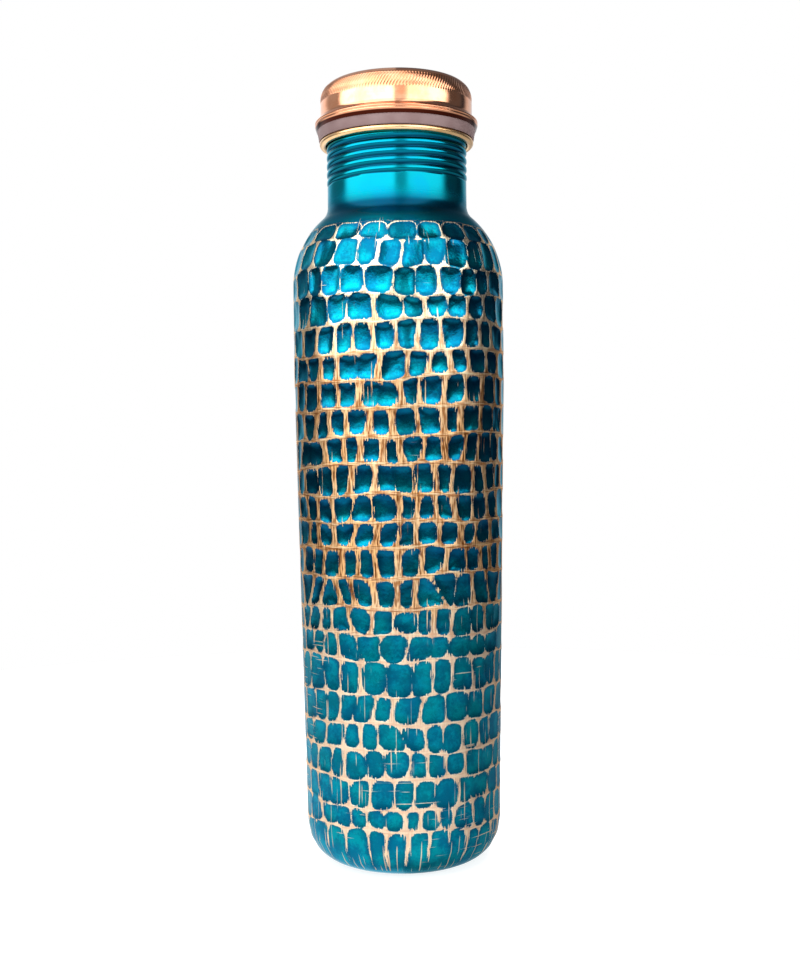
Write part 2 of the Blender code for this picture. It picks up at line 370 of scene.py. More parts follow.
def ring_heights(height):
    """How far up a row its mesh rings lie: close together by the ridge lines, one in the middle."""
    rings = [np.minimum(step, height * 0.45) for step in ROW_STEPS]
    rings.append(height / 2)
    rings += [np.maximum(height - step, height * 0.55) for step in reversed(ROW_STEPS[1:])]
    return rings


class Cells:
    """One row of hammered cells round the bottle, each a little different from the next."""

    def __init__(self, rng, path, middle):
        self.radius = path.at(path.at_height(middle))[0]
        upper = float(smooth(middle, *HIGH_ROWS_START))
        lower = float(1 - smooth(middle, 75, 100))
        wider = smooth(middle, *WIDENING_ROWS)
        width = CELL_WIDTH_LOW + (CELL_WIDTH_TOP - CELL_WIDTH_LOW) * float(wider)
        count = int(round(TAU * self.radius / width + rng.uniform(-1.0, 1.0)))
        widths = rng.uniform(0.8, 1.2, count)
        self.bounds = np.cumsum(widths) / widths.sum() * TAU + rng.uniform(0, TAU)
        self.leans = rng.normal(0, 0.55, count)
        if UNEVEN_ROW[0] < middle < UNEVEN_ROW[1]:
            self.leans = rng.normal(0, 1.5, count)
        self.bows = rng.normal(0, 0.3, count)
        thin = 1 - 0.22 * upper - 0.38 * lower
        self.halves = rng.uniform(0.42, 1.15, count) * thin
        kind = rng.uniform(0, 1, count)
        self.halves[kind < 0.16] = 0.12 + 0.38 * upper
        self.halves[kind < 0.035 * (1 - upper)] = -0.5
        usual = 0.22 + 0.16 * smooth(middle, 70, 110) + 0.2 * wider
        self.depths = rng.uniform(0.8, 1.15, count) * usual
        self.corners = rng.uniform(1.7, 2.8, count) + 0.1 * upper
        self.drips = rng.uniform(0.7, 1.7, count)

    def measure(self, turn, t, r, below, above):
        """For each column: its cell, mm beyond the cell's rounded rim, and the cell's half size.

        turn is the angle, t the height in the row from -0.5 to 0.5, r the wall's radius, below and
        above the distances to the edges of the two ridge lines.
        """
        bent = self.leans[None, :] * 2 * t[:, None] + self.bows[None, :] * (4 * t[:, None] ** 2 - 1)
        places = self.bounds[None, :] + bent / self.radius
        gap = (turn[:, None] - places) % TAU
        cell = np.argmin(gap, axis=1)
        following = (cell + 1) % len(self.bounds)
        columns = np.arange(COLUMNS)
        before = gap[columns, cell] * r - self.halves[cell]
        after = ((places[columns, following] - turn) % TAU) * r - self.halves[following]
        half_w, half_h = (before + after) / 2, (below + above) / 2
        across, along = np.abs(before - after) / 2, np.abs(below - above) / 2
        corner = np.minimum(self.corners[cell], 0.85 * np.minimum(half_w, half_h))
        corner = np.maximum(corner, 0.2)
        qx, qy = across - (half_w - corner), along - (half_h - corner)
        ridge = np.hypot(np.maximum(qx, 0), np.maximum(qy, 0))
        ridge += np.minimum(np.maximum(qx, qy), 0) - corner
        reach = np.maximum(np.minimum(np.minimum(half_w, half_h), 4.2), 0.8)
        return cell, ridge, reach


def dimple_rows(path):
    """Mesh rings over the hammered wall, each with five values.

    They are the length s along the wall, the ridge (mm beyond a dimple's rim), the dimple's depth,
    the distance from the nearest ridge line, and the level in the row from 0 to 1.
    """
    rng = np.random.default_rng(11)
    angle = np.arange(COLUMNS) * TAU / COLUMNS
    lines, half_widths = row_lines(rng, angle, path)
    last = len(ROW_LINES) - 2
    rings = []
    for k in range(last + 1):
        height = lines[k + 1] - lines[k]
        cells = Cells(rng, path, (ROW_LINES[k] + ROW_LINES[k + 1]) / 2)
        for up in ring_heights(height):
            s = lines[k] + up
            r, z, _, _ = path.at(s)
            x, y = r * np.cos(angle), r * np.sin(angle)
            turn = angle + ragged(x, y, z, 0.22, 1) * 0.35 / r
            t = up / height - 0.5 + ragged(x, y, z, 0.25, 2) * 0.02
            below, above = (t + 0.5) * height, (0.5 - t) * height
            low_edge = below + 4.0 if k == 0 else below - half_widths[k]
            high_edge = above - (1.0 if k == last else half_widths[k + 1])
            cell, ridge, reach = cells.measure(turn, t, r, low_edge, high_edge)
            inside = np.clip((0.15 - ridge) / reach, 0.0, 1.0)
            depth = cells.depths[cell] * (1 - (1 - inside) ** 2) * np.minimum(reach / 3.2, 1.0)
            level = np.broadcast_to(up / height, (COLUMNS,))
            if k == 0:
                hanging = (1 - level) / cells.drips[cell] - 0.2
                ridge = ridge + 0.2 - 1.5 * np.maximum(0, hanging) ** 1.3
                depth = depth * smooth(level, 0.1, 0.7) * 0.8
            if k == last:
                depth = depth * (1 - smooth(level, 0.75, 1.0))
            off_line = np.minimum(above if k == 0 else below, below if k == last else above)
            rings.append((s, ridge, depth, off_line, level))
    flat = np.zeros(COLUMNS)
    rings.append((lines[-1], flat - 2.0, flat, flat + 4.0, flat + 0.5))
    return rings


def lay_foot(skin):
    """The base from its middle to the corner; gives the map height reached, as all of these do."""
    foot = foot_points(0.0)
    skin.point(foot[0][1], 0.0, **SMOOTH)
    ones = np.ones(COLUMNS // 4)
    away = 0.0
    for before, (r, z) in zip(foot, foot[1:]):
        away += math.dist(before, (r, z))
        skin.ring(ones * r, ones * z, away / SHELL_MAP, **SMOOTH)
    return away / SHELL_MAP


def lay_wall(skin, start):
    """The corner, the hammered wall and the cove under the neck."""
    path = Path(wall_points(0.0, 24))
    rings = dimple_rows(path)
    ones = np.ones(COLUMNS // 2)
    r, z, _, _ = path.at(0.3)
    skin.ring(ones * r, ones * z, start + 0.4 / SHELL_MAP, **SMOOTH)
    ones = np.ones(COLUMNS)
    first = float(rings[0][0].mean())
    for part in (0.25, 0.5, 0.75, 0.92):
        r, z, _, _ = path.at(first * part)
        skin.ring(ones * r, ones * z, start + first * part / SHELL_MAP, **SMOOTH)
    for s, ridge, depth, off_line, level in rings:
        r, z, out_r, out_z = path.at(s)
        sunk = depth + 0.02
        skin.ring(
            r - sunk * out_r, z - sunk * out_z, start + float(s.mean()) / SHELL_MAP,
            ridge=ridge, line=off_line, level=level, hammered=1.0,
        )
    last = float(rings[-1][0].max())
    top = path.s[-1]
    steps = 16
    for i in range(1, steps + 1):
        s = last + (top - last) * i / steps
        r, z, _, _ = path.at(s)
        ones = np.ones(NECK_COLUMNS if i > 3 else COLUMNS)
        skin.ring(ones * r, ones * z, start + s / SHELL_MAP, **SMOOTH)
    return start + top / SHELL_MAP


def lay_neck(skin, start):
    """The threaded neck and the outer half of its rolled lip."""
    ones = np.ones(NECK_COLUMNS)
    angle = np.arange(NECK_COLUMNS) * TAU / NECK_COLUMNS
    heights = list(np.arange(NECK_FOOT + 1.5, NECK_THREAD_FOOT - 2.0, 1.5))
    heights += list(np.arange(NECK_THREAD_FOOT - 1.8, LIP_HEIGHT - 2 * LIP_ROLL, 0.3))
    for z in heights:
        plain = NECK_RADIUS + (THREAD_ROOT - NECK_RADIUS) * smooth(z, 250, 258)
        crest, there = thread_shape(angle, z, NECK_THREAD_FOOT, NECK_THREAD_TURNS)
        carved = THREAD_ROOT + THREAD_DEPTH * (1 - (1 - crest) ** 2)
        r = plain + (carved - plain) * there
        # How deep in a thread root each point lies; the lacquer paints shade there.
        root = (1 - crest) ** 1.3 * there
        skin.ring(r, ones * z, start + (z - NECK_FOOT) / SHELL_MAP, **SMOOTH, root=root)
    v = start + (LIP_HEIGHT - NECK_FOOT) / SHELL_MAP
    lip = arc(LIP_CENTRE, LIP_ROLL, -0.3, 0.55 * math.pi, 6)
    return skin.lay(lip, NECK_COLUMNS, v, 0.5 / SHELL_MAP, **SMOOTH)


def lay_inside(skin, v):
    """The inner half of the lip, the neck's bore and the plain inside wall, down to the base."""
    lip = arc(LIP_CENTRE, LIP_ROLL, 0.6 * math.pi, 1.35 * math.pi, 6)
    v = skin.lay(lip, NECK_COLUMNS, v, 0.5 / SHELL_MAP)
    ones = np.ones(NECK_COLUMNS)
    angle = np.arange(NECK_COLUMNS) * TAU / NECK_COLUMNS
    z = LIP_HEIGHT - 2.4
    while z > NECK_THREAD_FOOT - 2.5:
        crest, there = thread_shape(angle, z, NECK_THREAD_FOOT, NECK_THREAD_TURNS)
        r = NECK_BORE + 0.3 * (1 - (1 - crest) ** 2) * there
        v += 0.75 / SHELL_MAP
        skin.ring(r, ones * z, v)
        z -= 0.75
    inner = [
        (r - HAMMER_ROOM * float(smooth(z, 4, 30) * (1 - smooth(z, 222, 228))), z)
        for r, z in reversed(wall_points(BODY_SHEET, 6))
    ]
    inner += list(reversed(foot_points(BODY_SHEET)))[:-1]
    inner[0] = (NECK_BORE, NECK_FOOT + 1.2)
    ones = np.ones(NECK_COLUMNS // 2)
    before = (NECK_BORE, z)
    for r, z in inner:
        v += math.dist(before, (r, z)) / SHELL_MAP
        before = (r, z)
        skin.ring(ones * r, ones * z, v)
    skin.point(RECESS_DEPTH + BODY_SHEET, v + before[0] / SHELL_MAP)


def make_shell(lacquer, bare):
    """The bottle's whole shell: base, hammered wall, neck, lip and inside."""
    skin = Skin()
    outside = lay_neck(skin, lay_wall(skin, lay_foot(skin)))
    skin.slot = 1
    lay_inside(skin, outside)
    return skin.object("hammered_shell", [lacquer, bare])


def make_cover(copper, satin, inside):
    """The cap's cover with its knurled shoulder, grooved bead and skirt."""
    fine = 4 * KNURLS
    skin = Skin()
    centre = (COVER_RADIUS - COVER_ROUND, COVER_TOP - COVER_ROUND)
    skin.point(COVER_TOP, 0.0)
    quarter = np.ones(fine // 4)
    for r in (3.0, 8.0, 14.0, 18.0, centre[0]):
        skin.ring(quarter * r, quarter * COVER_TOP, r / CAP_MAP)
    crown = arc(centre, COVER_ROUND, math.radians(84), KNURL_ANGLE + 0.03, 9)
    v = skin.lay(crown, fine // 2, centre[0] / CAP_MAP, 0.65 / CAP_MAP)
    angle = np.arange(fine) * TAU / fine
    band = arc(centre, COVER_ROUND, KNURL_ANGLE, 0, 9)
    band += [(COVER_RADIUS, centre[1] - d) for d in (0.45, 0.9, 1.3, 1.6)]
    for r, z in band:
        v += 0.4 / CAP_MAP
        fade = min(1.0, (z - KNURL_BOTTOM + 0.1) / 0.5, (KNURL_TOP - z) / 0.4)
        stroke = 0.5 + 0.5 * np.cos(KNURLS * (angle - KNURL_LEAN * (z - KNURL_BOTTOM)))
        cut = KNURL_DEPTH * max(fade, 0.0) * stroke ** 1.5
        way = math.atan2(max(z - centre[1], 0.0), r - centre[0])
        skin.ring(r - cut * math.cos(way), z - cut * math.sin(way), v)
    bead = COVER_RADIUS + BEAD_PROUD
    root = COVER_RADIUS + SKIRT_ROOT_PROUD
    end = COVER_RADIUS + SKIRT_END_PROUD
    wall = [(COVER_RADIUS, centre[1] - 1.7), (COVER_RADIUS, centre[1] - 3.5)]
    wall += [(COVER_RADIUS, BEAD_TOP), (COVER_RADIUS + 0.06, BEAD_TOP - 0.5)]
    wall += [(COVER_RADIUS + 0.22, BEAD_TOP - 0.95), (COVER_RADIUS + 0.5, BEAD_TOP - 1.4)]
    wall += [(COVER_RADIUS + 1.0, BEAD_TOP - 1.9), (COVER_RADIUS + 1.35, BEAD_TOP - 2.1)]
    groove_z = (BEAD_LOW + BEAD_HIGH) / 2 + 0.25
    wall += arc((bead - 0.42, groove_z + 0.42), 0.42, math.radians(100), math.radians(-50), 6)
    wall += [(bead - 0.32, groove_z)]
    wall += arc((bead - 0.45, groove_z - 0.50), 0.45, math.radians(50), math.radians(-45), 5)
    wall += [(root + 0.45, BEAD_BOTTOM + 0.35), (root + 0.1, BEAD_BOTTOM + 0.02)]
    v = skin.lay(wall, fine // 2, v, 0.5 / CAP_MAP)
    skin.slot = 1
    skirt = [(root + 0.02, BEAD_BOTTOM - 0.15), (root, BEAD_BOTTOM - 0.5)]
    skirt += [((root + end) / 2, (BEAD_BOTTOM + SKIRT_END) / 2), (end, SKIRT_END - 0.15)]
    skirt += [(end - 0.12, SKIRT_END - 0.42), (end - 0.3, SKIRT_END - 0.5)]
    v = skin.lay(skirt, fine // 2, v, 0.6 / CAP_MAP)
    skin.slot = 2
    under = [(end - 0.45, SKIRT_END - 0.4), (root - COVER_SHEET, BEAD_BOTTOM)]
    under += [(bead - COVER_SHEET - 0.3, BEAD_LOW), (bead - COVER_SHEET - 0.3, BEAD_HIGH)]
    under += [(COVER_BORE, BEAD_TOP)]
    under += arc(centre, COVER_ROUND - COVER_SHEET, 0, math.pi / 2, 5)
    v = skin.lay(under, fine // 4, v, 1.0 / CAP_MAP)
    skin.point(COVER_TOP - COVER_SHEET, v + centre[0] / CAP_MAP)
    flip(skin)
    return skin.object("cap_cover_spun", [copper, satin, inside])


def flip(skin):
    """Turns every face over, for a skin that was laid from the top down."""
    skin.faces = [list(reversed(face)) for face in skin.faces]
    skin.maps = [list(reversed(face)) for face in skin.maps]


def make_cup(metal):
    """The threaded cup, with its edge rolled outwards."""
    skin = Skin()
    columns = 240
    ones = np.ones(columns)
    angle = np.arange(columns) * TAU / columns
    centre = (CUP_RADIUS - CUP_ROUND, CUP_TOP - CUP_ROUND)
    roll = (CUP_RADIUS + CUP_LIP_PROUD - CUP_LIP_ROLL, CUP_MOUTH + CUP_LIP_ROLL)
    skin.point(CUP_TOP, 0.0)
    outside = [(12.0, CUP_TOP)] + arc(centre, CUP_ROUND, math.pi / 2, 0, 5)
    outside += [(CUP_RADIUS, CUP_MOUTH + 2 * CUP_LIP_ROLL + 0.3)]
    outside += [(CUP_RADIUS + 0.12, CUP_MOUTH + 2 * CUP_LIP_ROLL + 0.04)]
    outside += arc(roll, CUP_LIP_ROLL, math.radians(85), math.radians(-95), 14)
    outside += [(CUP_BORE + 0.35, CUP_MOUTH + 0.02), (CUP_BORE + 0.08, CUP_MOUTH + 0.12)]
    outside += [(CUP_BORE, CUP_MOUTH + 0.4)]
    v = skin.lay(outside, columns, 0.0, 1.2 / CAP_MAP)
    rise = CUP_MOUTH + CUP_THREAD_START - NECK_THREAD_FOOT
    foot = NECK_THREAD_FOOT + (math.ceil(rise / THREAD_PITCH - 0.5) + 0.5) * THREAD_PITCH
    for z in np.arange(CUP_MOUTH + 0.8, CUP_INSIDE_TOP - 1.0, 0.4):
        crest, there = thread_shape(angle, z, foot, CUP_THREAD_TURNS)
        v += 0.4 / CAP_MAP
        skin.ring(CUP_BORE - THREAD_DEPTH * crest ** 3 * there, ones * z, v)
    top = arc(centre, CUP_ROUND - CUP_SHEET, 0, math.pi / 2, 4) + [(12.0, CUP_INSIDE_TOP)]
    v = skin.lay(top, columns // 2, v, 1.2 / CAP_MAP)
    skin.point(CUP_INSIDE_TOP, v + 12.0 / CAP_MAP)
    flip(skin)
    return skin.object("cap_cup_rolled", [metal])


def make_seal(silicone):
    """The silicone ring, with eased edges and two sealing ribs underneath."""
    skin = Skin()
    columns = 160
    ones = np.ones(columns)
    inner = GASKET_RADIUS - GASKET_WIDTH
    ease = 0.4
    section = [
        (inner, GASKET_TOP - ease), (inner + ease * 0.3, GASKET_TOP - ease * 0.3),
        (inner + ease, GASKET_TOP), (GASKET_RADIUS - ease, GASKET_TOP),
        (GASKET_RADIUS - ease * 0.3, GASKET_TOP - ease * 0.3), (GASKET_RADIUS, GASKET_TOP - ease),
        (GASKET_RADIUS, GASKET_BOTTOM + 0.2), (GASKET_RADIUS - 0.2, GASKET_BOTTOM),
        (GASKET_RADIUS - 0.9, GASKET_BOTTOM), (GASKET_RADIUS - 1.1, GASKET_BOTTOM + 0.2),
        (inner + 1.1, GASKET_BOTTOM + 0.2), (inner + 0.9, GASKET_BOTTOM),
        (inner + 0.2, GASKET_BOTTOM), (inner, GASKET_BOTTOM + 0.2), (inner, GASKET_TOP - ease),
    ]
    for i, (r, z) in enumerate(section[:-1]):
        skin.ring(ones * r, ones * z, i / 30)
    first = (0, columns, 14 / 30)
    skin.join(skin.last, first)
    flip(skin)
    return skin.object("cap_seal", [silicone])


# --- Materials ---------------------------------------------------------------------------
class Nodes:
    """Short calls for a node tree."""

    def __init__(self, tree):
        self.tree = tree

    def add(self, kind, inputs=None, **settings):
        node = self.tree.nodes.new(kind)
        for name, value in settings.items():
            setattr(node, name, value)
        for name, value in (inputs or {}).items():
            self.put(node.inputs[name], value)
        return node

    def put(self, socket, value):
        if isinstance(value, bpy.types.NodeSocket):
            self.tree.links.new(value, socket)
        else:
            socket.default_value = value

    def math(self, operation, a, b=0.0, c=0.0, clamp=False):
        node = self.tree.nodes.new("ShaderNodeMath")
        node.operation = operation
        node.use_clamp = clamp
        for socket, value in zip(node.inputs, (a, b, c)):
            self.put(socket, value)
        return node.outputs[0]

    def step(self, value, low, high, to_low=0.0, to_high=1.0):
        node = self.add(
            "ShaderNodeMapRange",
            {"Value": value, "From Min": low, "From Max": high, "To Min": to_low, "To Max": to_high},
            interpolation_type="SMOOTHSTEP",
        )
        return node.outputs["Result"]

    def between(self, value, rise, fall):
        """1 between two soft edges and 0 outside."""
        return self.times(self.step(value, *rise), self.step(value, *fall, 1.0, 0.0))

    def times(self, a, b):
        return self.math("MULTIPLY", a, b)

    def plus(self, a, b):
        return self.math("ADD", a, b)

    def minus(self, a, b):
        return self.math("SUBTRACT", a, b)

    def times_plus(self, a, b, c, clamp=False):
        """a times b, plus c."""
        return self.math("MULTIPLY_ADD", a, b, c, clamp)

    def swing(self, value, middle, size, onto):
        """Adds size times the value's distance from its middle."""
        return self.times_plus(self.minus(value, middle), size, onto)

    def attribute(self, name):
        return self.add("ShaderNodeAttribute", attribute_name=name).outputs["Fac"]

    def blend(self, factor, a, b):
        """A number between a and b."""
        node = self.add("ShaderNodeMix", data_type="FLOAT")
        for socket, value in zip((node.inputs[0], node.inputs[2], node.inputs[3]), (factor, a, b)):
            self.put(socket, value)
        return node.outputs[0]

    def mix(self, factor, a, b):
        """A colour between a and b."""
        node = self.add("ShaderNodeMix", data_type="RGBA")
        self.put(node.inputs["Factor"], factor)
        for name, value in (("A", a), ("B", b)):
            socket = [s for s in node.inputs if s.name == name and s.type == "RGBA"][0]
            self.put(socket, value)
        return [s for s in node.outputs if s.type == "RGBA"][0]

    def noise(self, vector, scale, detail=2.0, roughness=0.5, stretch=(1, 1, 1)):
        """Noise in 0 to 1 over the piece's own coordinates, stretched along some axes."""
        if stretch != (1, 1, 1):
            vector = self.add(
                "ShaderNodeMapping", {"Vector": vector, "Scale": stretch}
            ).outputs["Vector"]
        node = self.add(
            "ShaderNodeTexNoise",
            {"Vector": vector, "Scale": scale, "Detail": detail, "Roughness": roughness},
        )
        return node.outputs["Fac"]


def new_material(name):
    material = bpy.data.materials.new(name)
    material.use_nodes = True
    nodes = Nodes(material.node_tree)
    shader = material.node_tree.nodes["Principled BSDF"]
    where = nodes.add("ShaderNodeTexCoord").outputs["Object"]
    return material, nodes, shader, where


def bump(nodes, shader, height, strength, distance, before=None):
    """Bumps the shader's normal, after an earlier bump where one is given."""
    inputs = {"Height": height, "Strength": strength, "Distance": distance}
    if before is not None:
        inputs["Normal"] = before
    node = nodes.add("ShaderNodeBump", inputs)
    nodes.put(shader.inputs["Normal"], node.outputs["Normal"])
    return node.outputs["Normal"]


def rgb(r, g, b):
    return (r, g, b, 1.0)


def around_axis(nodes, where, radius):
    """Each point's place carried out to one radius, so that streaks follow the wall."""
    x, y, z = nodes.add("ShaderNodeSeparateXYZ", {"Vector": where}).outputs
    flat = nodes.add("ShaderNodeCombineXYZ", {"X": x, "Y": y}).outputs[0]
    unit = nodes.add("ShaderNodeVectorMath", {0: flat}, operation="NORMALIZE").outputs[0]
    wide = nodes.add("ShaderNodeVectorMath", {0: unit, "Scale": radius}, operation="SCALE")
    up = nodes.add("ShaderNodeCombineXYZ", {"Z": z}).outputs[0]
    return nodes.add("ShaderNodeVectorMath", {0: wide.outputs[0], 1: up}).outputs[0]


class Wall:
    """What the shell's finish reads: the mesh's own values, soft zones of height, and brushing."""

    def __init__(self, nodes, where):
        self.ridge = nodes.attribute("ridge")
        self.off_line = nodes.attribute("line")
        self.level = nodes.attribute("level")
        self.hammered = nodes.attribute("hammered")
        # root drives the painted shade in the thread roots.
        self.root = nodes.attribute("root")
        height = nodes.add("ShaderNodeSeparateXYZ", {"Vector": where}).outputs["Z"]
        self.height = nodes.times(height, 1 / MM)
        self.low = nodes.step(self.height, *LOW_ROWS_END, 1.0, 0.0)
        self.mid = nodes.between(self.height, *MID_ROWS)
        self.high = nodes.step(self.height, *HIGH_ROWS_START)
        self.foot = nodes.step(self.height, *FOOT_END, 1.0, 0.0)
        self.wrapped = around_axis(nodes, where, BODY_RADIUS * MM)
        self.strokes = nodes.noise(self.wrapped, 2100.0, 2.0, 0.55, stretch=(1, 1, 0.11))
        level_strokes = nodes.noise(where, 2100.0, 2.0, 0.55, stretch=(0.09, 0.09, 1))
        on_line = nodes.step(self.off_line, 0.5, 1.1, 1.0, 0.0)
        self.brushed = nodes.blend(nodes.times(on_line, 0.7), self.strokes, level_strokes)


def sanded_off(nodes, where, wall):
    """1 where the lacquer is sanded off a ridge, with a ragged, streaky edge."""
    top_row = nodes.step(wall.height, *TOP_ROW_START)
    outline = nodes.math("ABSOLUTE", nodes.minus(wall.ridge, 0.3))
    outline = nodes.times_plus(outline, -1.6, 0.6)
    edge = nodes.blend(top_row, wall.ridge, outline)
    for zone, wider in ((wall.high, -0.28), (wall.mid, 0.14), (wall.low, -0.08)):
        edge = nodes.times_plus(zone, wider, edge)
    streaks = nodes.times_plus(wall.mid, 0.5, 1.4)
    edge = nodes.swing(wall.brushed, 0.5, streaks, edge)
    comb = nodes.noise(wall.wrapped, 1250.0, 1.0, 0.5, stretch=(1, 1, 0.07))
    spikes = nodes.times(
        nodes.step(comb, 0.60, 0.78, 0.0, 0.95), nodes.times_plus(wall.high, -0.75, 1.0)
    )
    edge = nodes.times_plus(spikes, nodes.step(wall.ridge, -1.9, -0.7), edge)
    edge = nodes.swing(nodes.noise(where, 3400.0, 2.0, 0.6), 0.5, 0.6, edge)
    edge = nodes.swing(nodes.noise(where, 75.0, 2.0, 0.5), 0.52, 0.8, edge)
    return nodes.step(edge, -0.05, 0.14)


def scratched(nodes, where, wall):
    """Thin scratches through the lacquer, mostly upright, some level, in patches."""
    fine = nodes.noise(wall.wrapped, 1500.0, 1.0, 0.4, stretch=(1, 1, 0.035))
    fine = nodes.times_plus(wall.foot, 0.05, fine)
    patch = nodes.times_plus(wall.low, 0.08, nodes.noise(where, 70.0, 1.0, 0.5))
    patch = nodes.times_plus(wall.foot, 0.2, patch)
    upright = nodes.times(nodes.step(fine, 0.70, 0.725), nodes.step(patch, 0.5, 0.6))
    fine = nodes.noise(where, 1700.0, 1.0, 0.4, stretch=(0.04, 0.04, 1))
    patch = nodes.times_plus(wall.low, 0.2, nodes.noise(where, 48.0, 1.0, 0.5))
    level = nodes.times(nodes.step(fine, 0.68, 0.71), nodes.step(patch, 0.72, 0.8))
    scratches = nodes.math("MAXIMUM", upright, level)
    return nodes.times(nodes.times(scratches, wall.hammered), 0.85)


def lacquer_colour(nodes, where, wall):
    """Teal lacquer: mottled in the dimples, with painted shade in the thread roots, the cove under the
    neck, the upper part of the middle rows' dimples and round each dimple's rim.
    """
    shade = nodes.swing(
        nodes.noise(where, 1100.0, 3.0, 0.6), 0.5, 0.6, nodes.noise(where, 170.0, 2.0, 0.5)
    )
    shade = nodes.swing(shade, 0.56, wall.hammered, 0.56)
    hue = nodes.step(nodes.noise(where, 90.0, 1.0, 0.5), 0.4, 0.6)
    deep = nodes.mix(hue, rgb(0.0, 0.145, 0.26), rgb(0.0, 0.17, 0.245))
    pale = nodes.mix(hue, rgb(0.0, 0.27, 0.38), rgb(0.0, 0.285, 0.35))
    teal = nodes.mix(nodes.step(shade, 0.35, 0.68), deep, pale)
    # Painted shade: the lacquer goes near black in the thread roots and in the cove under the neck.
    cove = nodes.between(wall.height, (219.0, 227.0), (229.0, 233.0))
    shade_in_roots_and_cove = nodes.math("MAXIMUM", nodes.times(wall.root, 0.9), nodes.times(cove, 0.85))
    teal = nodes.mix(shade_in_roots_and_cove, teal, rgb(0.0, 0.018, 0.06))
    # Painted shade: the upper part of each dimple in the middle rows is made dark navy, as if shaded by
    # the ridge above.
    mid_height = nodes.times(
        nodes.step(wall.height, 75.0, 110.0), nodes.step(wall.height, 170.0, 205.0, 1.0, 0.35)
    )
    shade_under_ridge = nodes.times(nodes.step(wall.level, 0.3, 0.78), nodes.times(mid_height, 0.7))
    teal = nodes.mix(nodes.times(shade_under_ridge, wall.hammered), teal, rgb(0.0, 0.047, 0.145))
    # Painted shade: the lacquer darkens round each dimple's rim, more in the higher rows.
    rim = nodes.times(nodes.step(wall.ridge, -1.5, -0.1), wall.hammered)
    rim = nodes.times(rim, nodes.step(wall.height, 70.0, 130.0, 0.36, 0.6))
    return nodes.mix(rim, teal, rgb(0.0, 0.047, 0.13))


def bare_colour(nodes, where, wall):
    """Brushed copper on the ridges: brown and orange streaks in pale patches, with a painted highlight
    along the row lines and in the top and lowest rows.
    """
    tone = nodes.step(wall.brushed, 0.39, 0.61)
    copper = nodes.mix(tone, rgb(0.22, 0.065, 0.015), rgb(0.92, 0.53, 0.23))
    fine_tone = nodes.noise(where, 700.0, 3.0, 0.65, stretch=(1, 1, 0.35))
    pale_tone = nodes.plus(nodes.times(tone, 0.5), nodes.times(fine_tone, 0.5))
    pale = nodes.mix(nodes.step(pale_tone, 0.25, 0.75), rgb(0.70, 0.31, 0.11), rgb(0.98, 0.79, 0.51))
    # Painted highlight: the copper is made paler, near cream in the top rows and pale pink in the lowest
    # rows.
    pale = nodes.mix(nodes.times(wall.high, 0.75), pale, rgb(0.92, 0.80, 0.58))
    pale = nodes.mix(nodes.times(wall.low, 0.65), pale, rgb(0.95, 0.72, 0.54))
    # Random pale patches, fewer in the middle rows, where the copper is left darker as painted shade.
    patches = nodes.step(nodes.noise(where, 42.0, 2.0, 0.5), 0.42, 0.6)
    pale_patches_and_highlight = nodes.times(patches, nodes.times_plus(wall.mid, -0.6, 1.0))
    # Painted highlight: paler copper along the row lines.
    pale_patches_and_highlight = nodes.plus(pale_patches_and_highlight, nodes.step(wall.off_line, 0.1, 0.5, 0.4, 0.0))
    pale_patches_and_highlight = nodes.times_plus(wall.high, 0.8, pale_patches_and_highlight, clamp=True)
    pale_patches_and_highlight = nodes.times_plus(wall.low, 0.8, pale_patches_and_highlight, clamp=True)
    return nodes.mix(pale_patches_and_highlight, copper, pale)


def lacquered_copper():
    """Teal lacquer in the dimples, sanded off the ridges down to bare copper."""
    material, nodes, shader, where = new_material("lacquered_hammered_copper")
    wall = Wall(nodes, where)
    bare = nodes.math("MAXIMUM", sanded_off(nodes, where, wall), scratched(nodes, where, wall))
    colour = nodes.mix(bare, lacquer_colour(nodes, where, wall), bare_colour(nodes, where, wall))
    nodes.put(shader.inputs["Base Color"], colour)
    shader.inputs["Metallic"].default_value = 1.0
    tint = nodes.mix(bare, rgb(0.35, 0.72, 0.85), rgb(1.0, 0.80, 0.62))
    nodes.put(shader.inputs["Specular Tint"], tint)
    dull_cove = nodes.between(wall.height, (217.0, 222.0), (231.0, 236.0))
    lacquer_rough = nodes.times_plus(wall.low, 0.1, 0.17)
    lacquer_rough = nodes.times_plus(dull_cove, 0.14, lacquer_rough)
    copper_rough = nodes.step(wall.strokes, 0.3, 0.7, 0.3, 0.44)
    copper_rough = nodes.times_plus(wall.high, -0.1, copper_rough)
    nodes.put(shader.inputs["Roughness"], nodes.blend(bare, lacquer_rough, copper_rough))
    nodes.put(shader.inputs["Coat Weight"], nodes.step(bare, 0.0, 1.0, 0.35, 0.0))
    shader.inputs["Coat Roughness"].default_value = 0.06
    shader.inputs["Coat IOR"].default_value = 1.15

    dents = nodes.times(nodes.noise(where, 520.0, 2.0, 0.5), wall.hammered)
    normal = bump(nodes, shader, dents, 0.2, 0.00025)
    sparkle = nodes.times(nodes.noise(where, 1500.0, 2.0, 0.6), wall.high)
    sparkle = nodes.times(sparkle, wall.hammered)
    normal = bump(nodes, shader, sparkle, 0.35, 0.00012, before=normal)
    bump(nodes, shader, nodes.times(wall.brushed, bare), 0.5, 0.00012, before=normal)
    return material


def spun_copper(name, dark, bright, rough_low, rough_high):
    """Polished metal with fine lines round the axis."""
    material, nodes, shader, where = new_material(name)
    lines = nodes.noise(where, 2600.0, 2.0, 0.6, stretch=(0.02, 0.02, 1))
    smear = nodes.noise(where, 160.0, 3.0, 0.6)
    nodes.put(shader.inputs["Base Color"], nodes.mix(nodes.step(smear, 0.3, 0.7), dark, bright))
    shader.inputs["Metallic"].default_value = 1.0
    nodes.put(shader.inputs["Roughness"], nodes.step(lines, 0.3, 0.7, rough_low, rough_high))
    bump(nodes, shader, lines, 0.25, 0.00004)
    return material


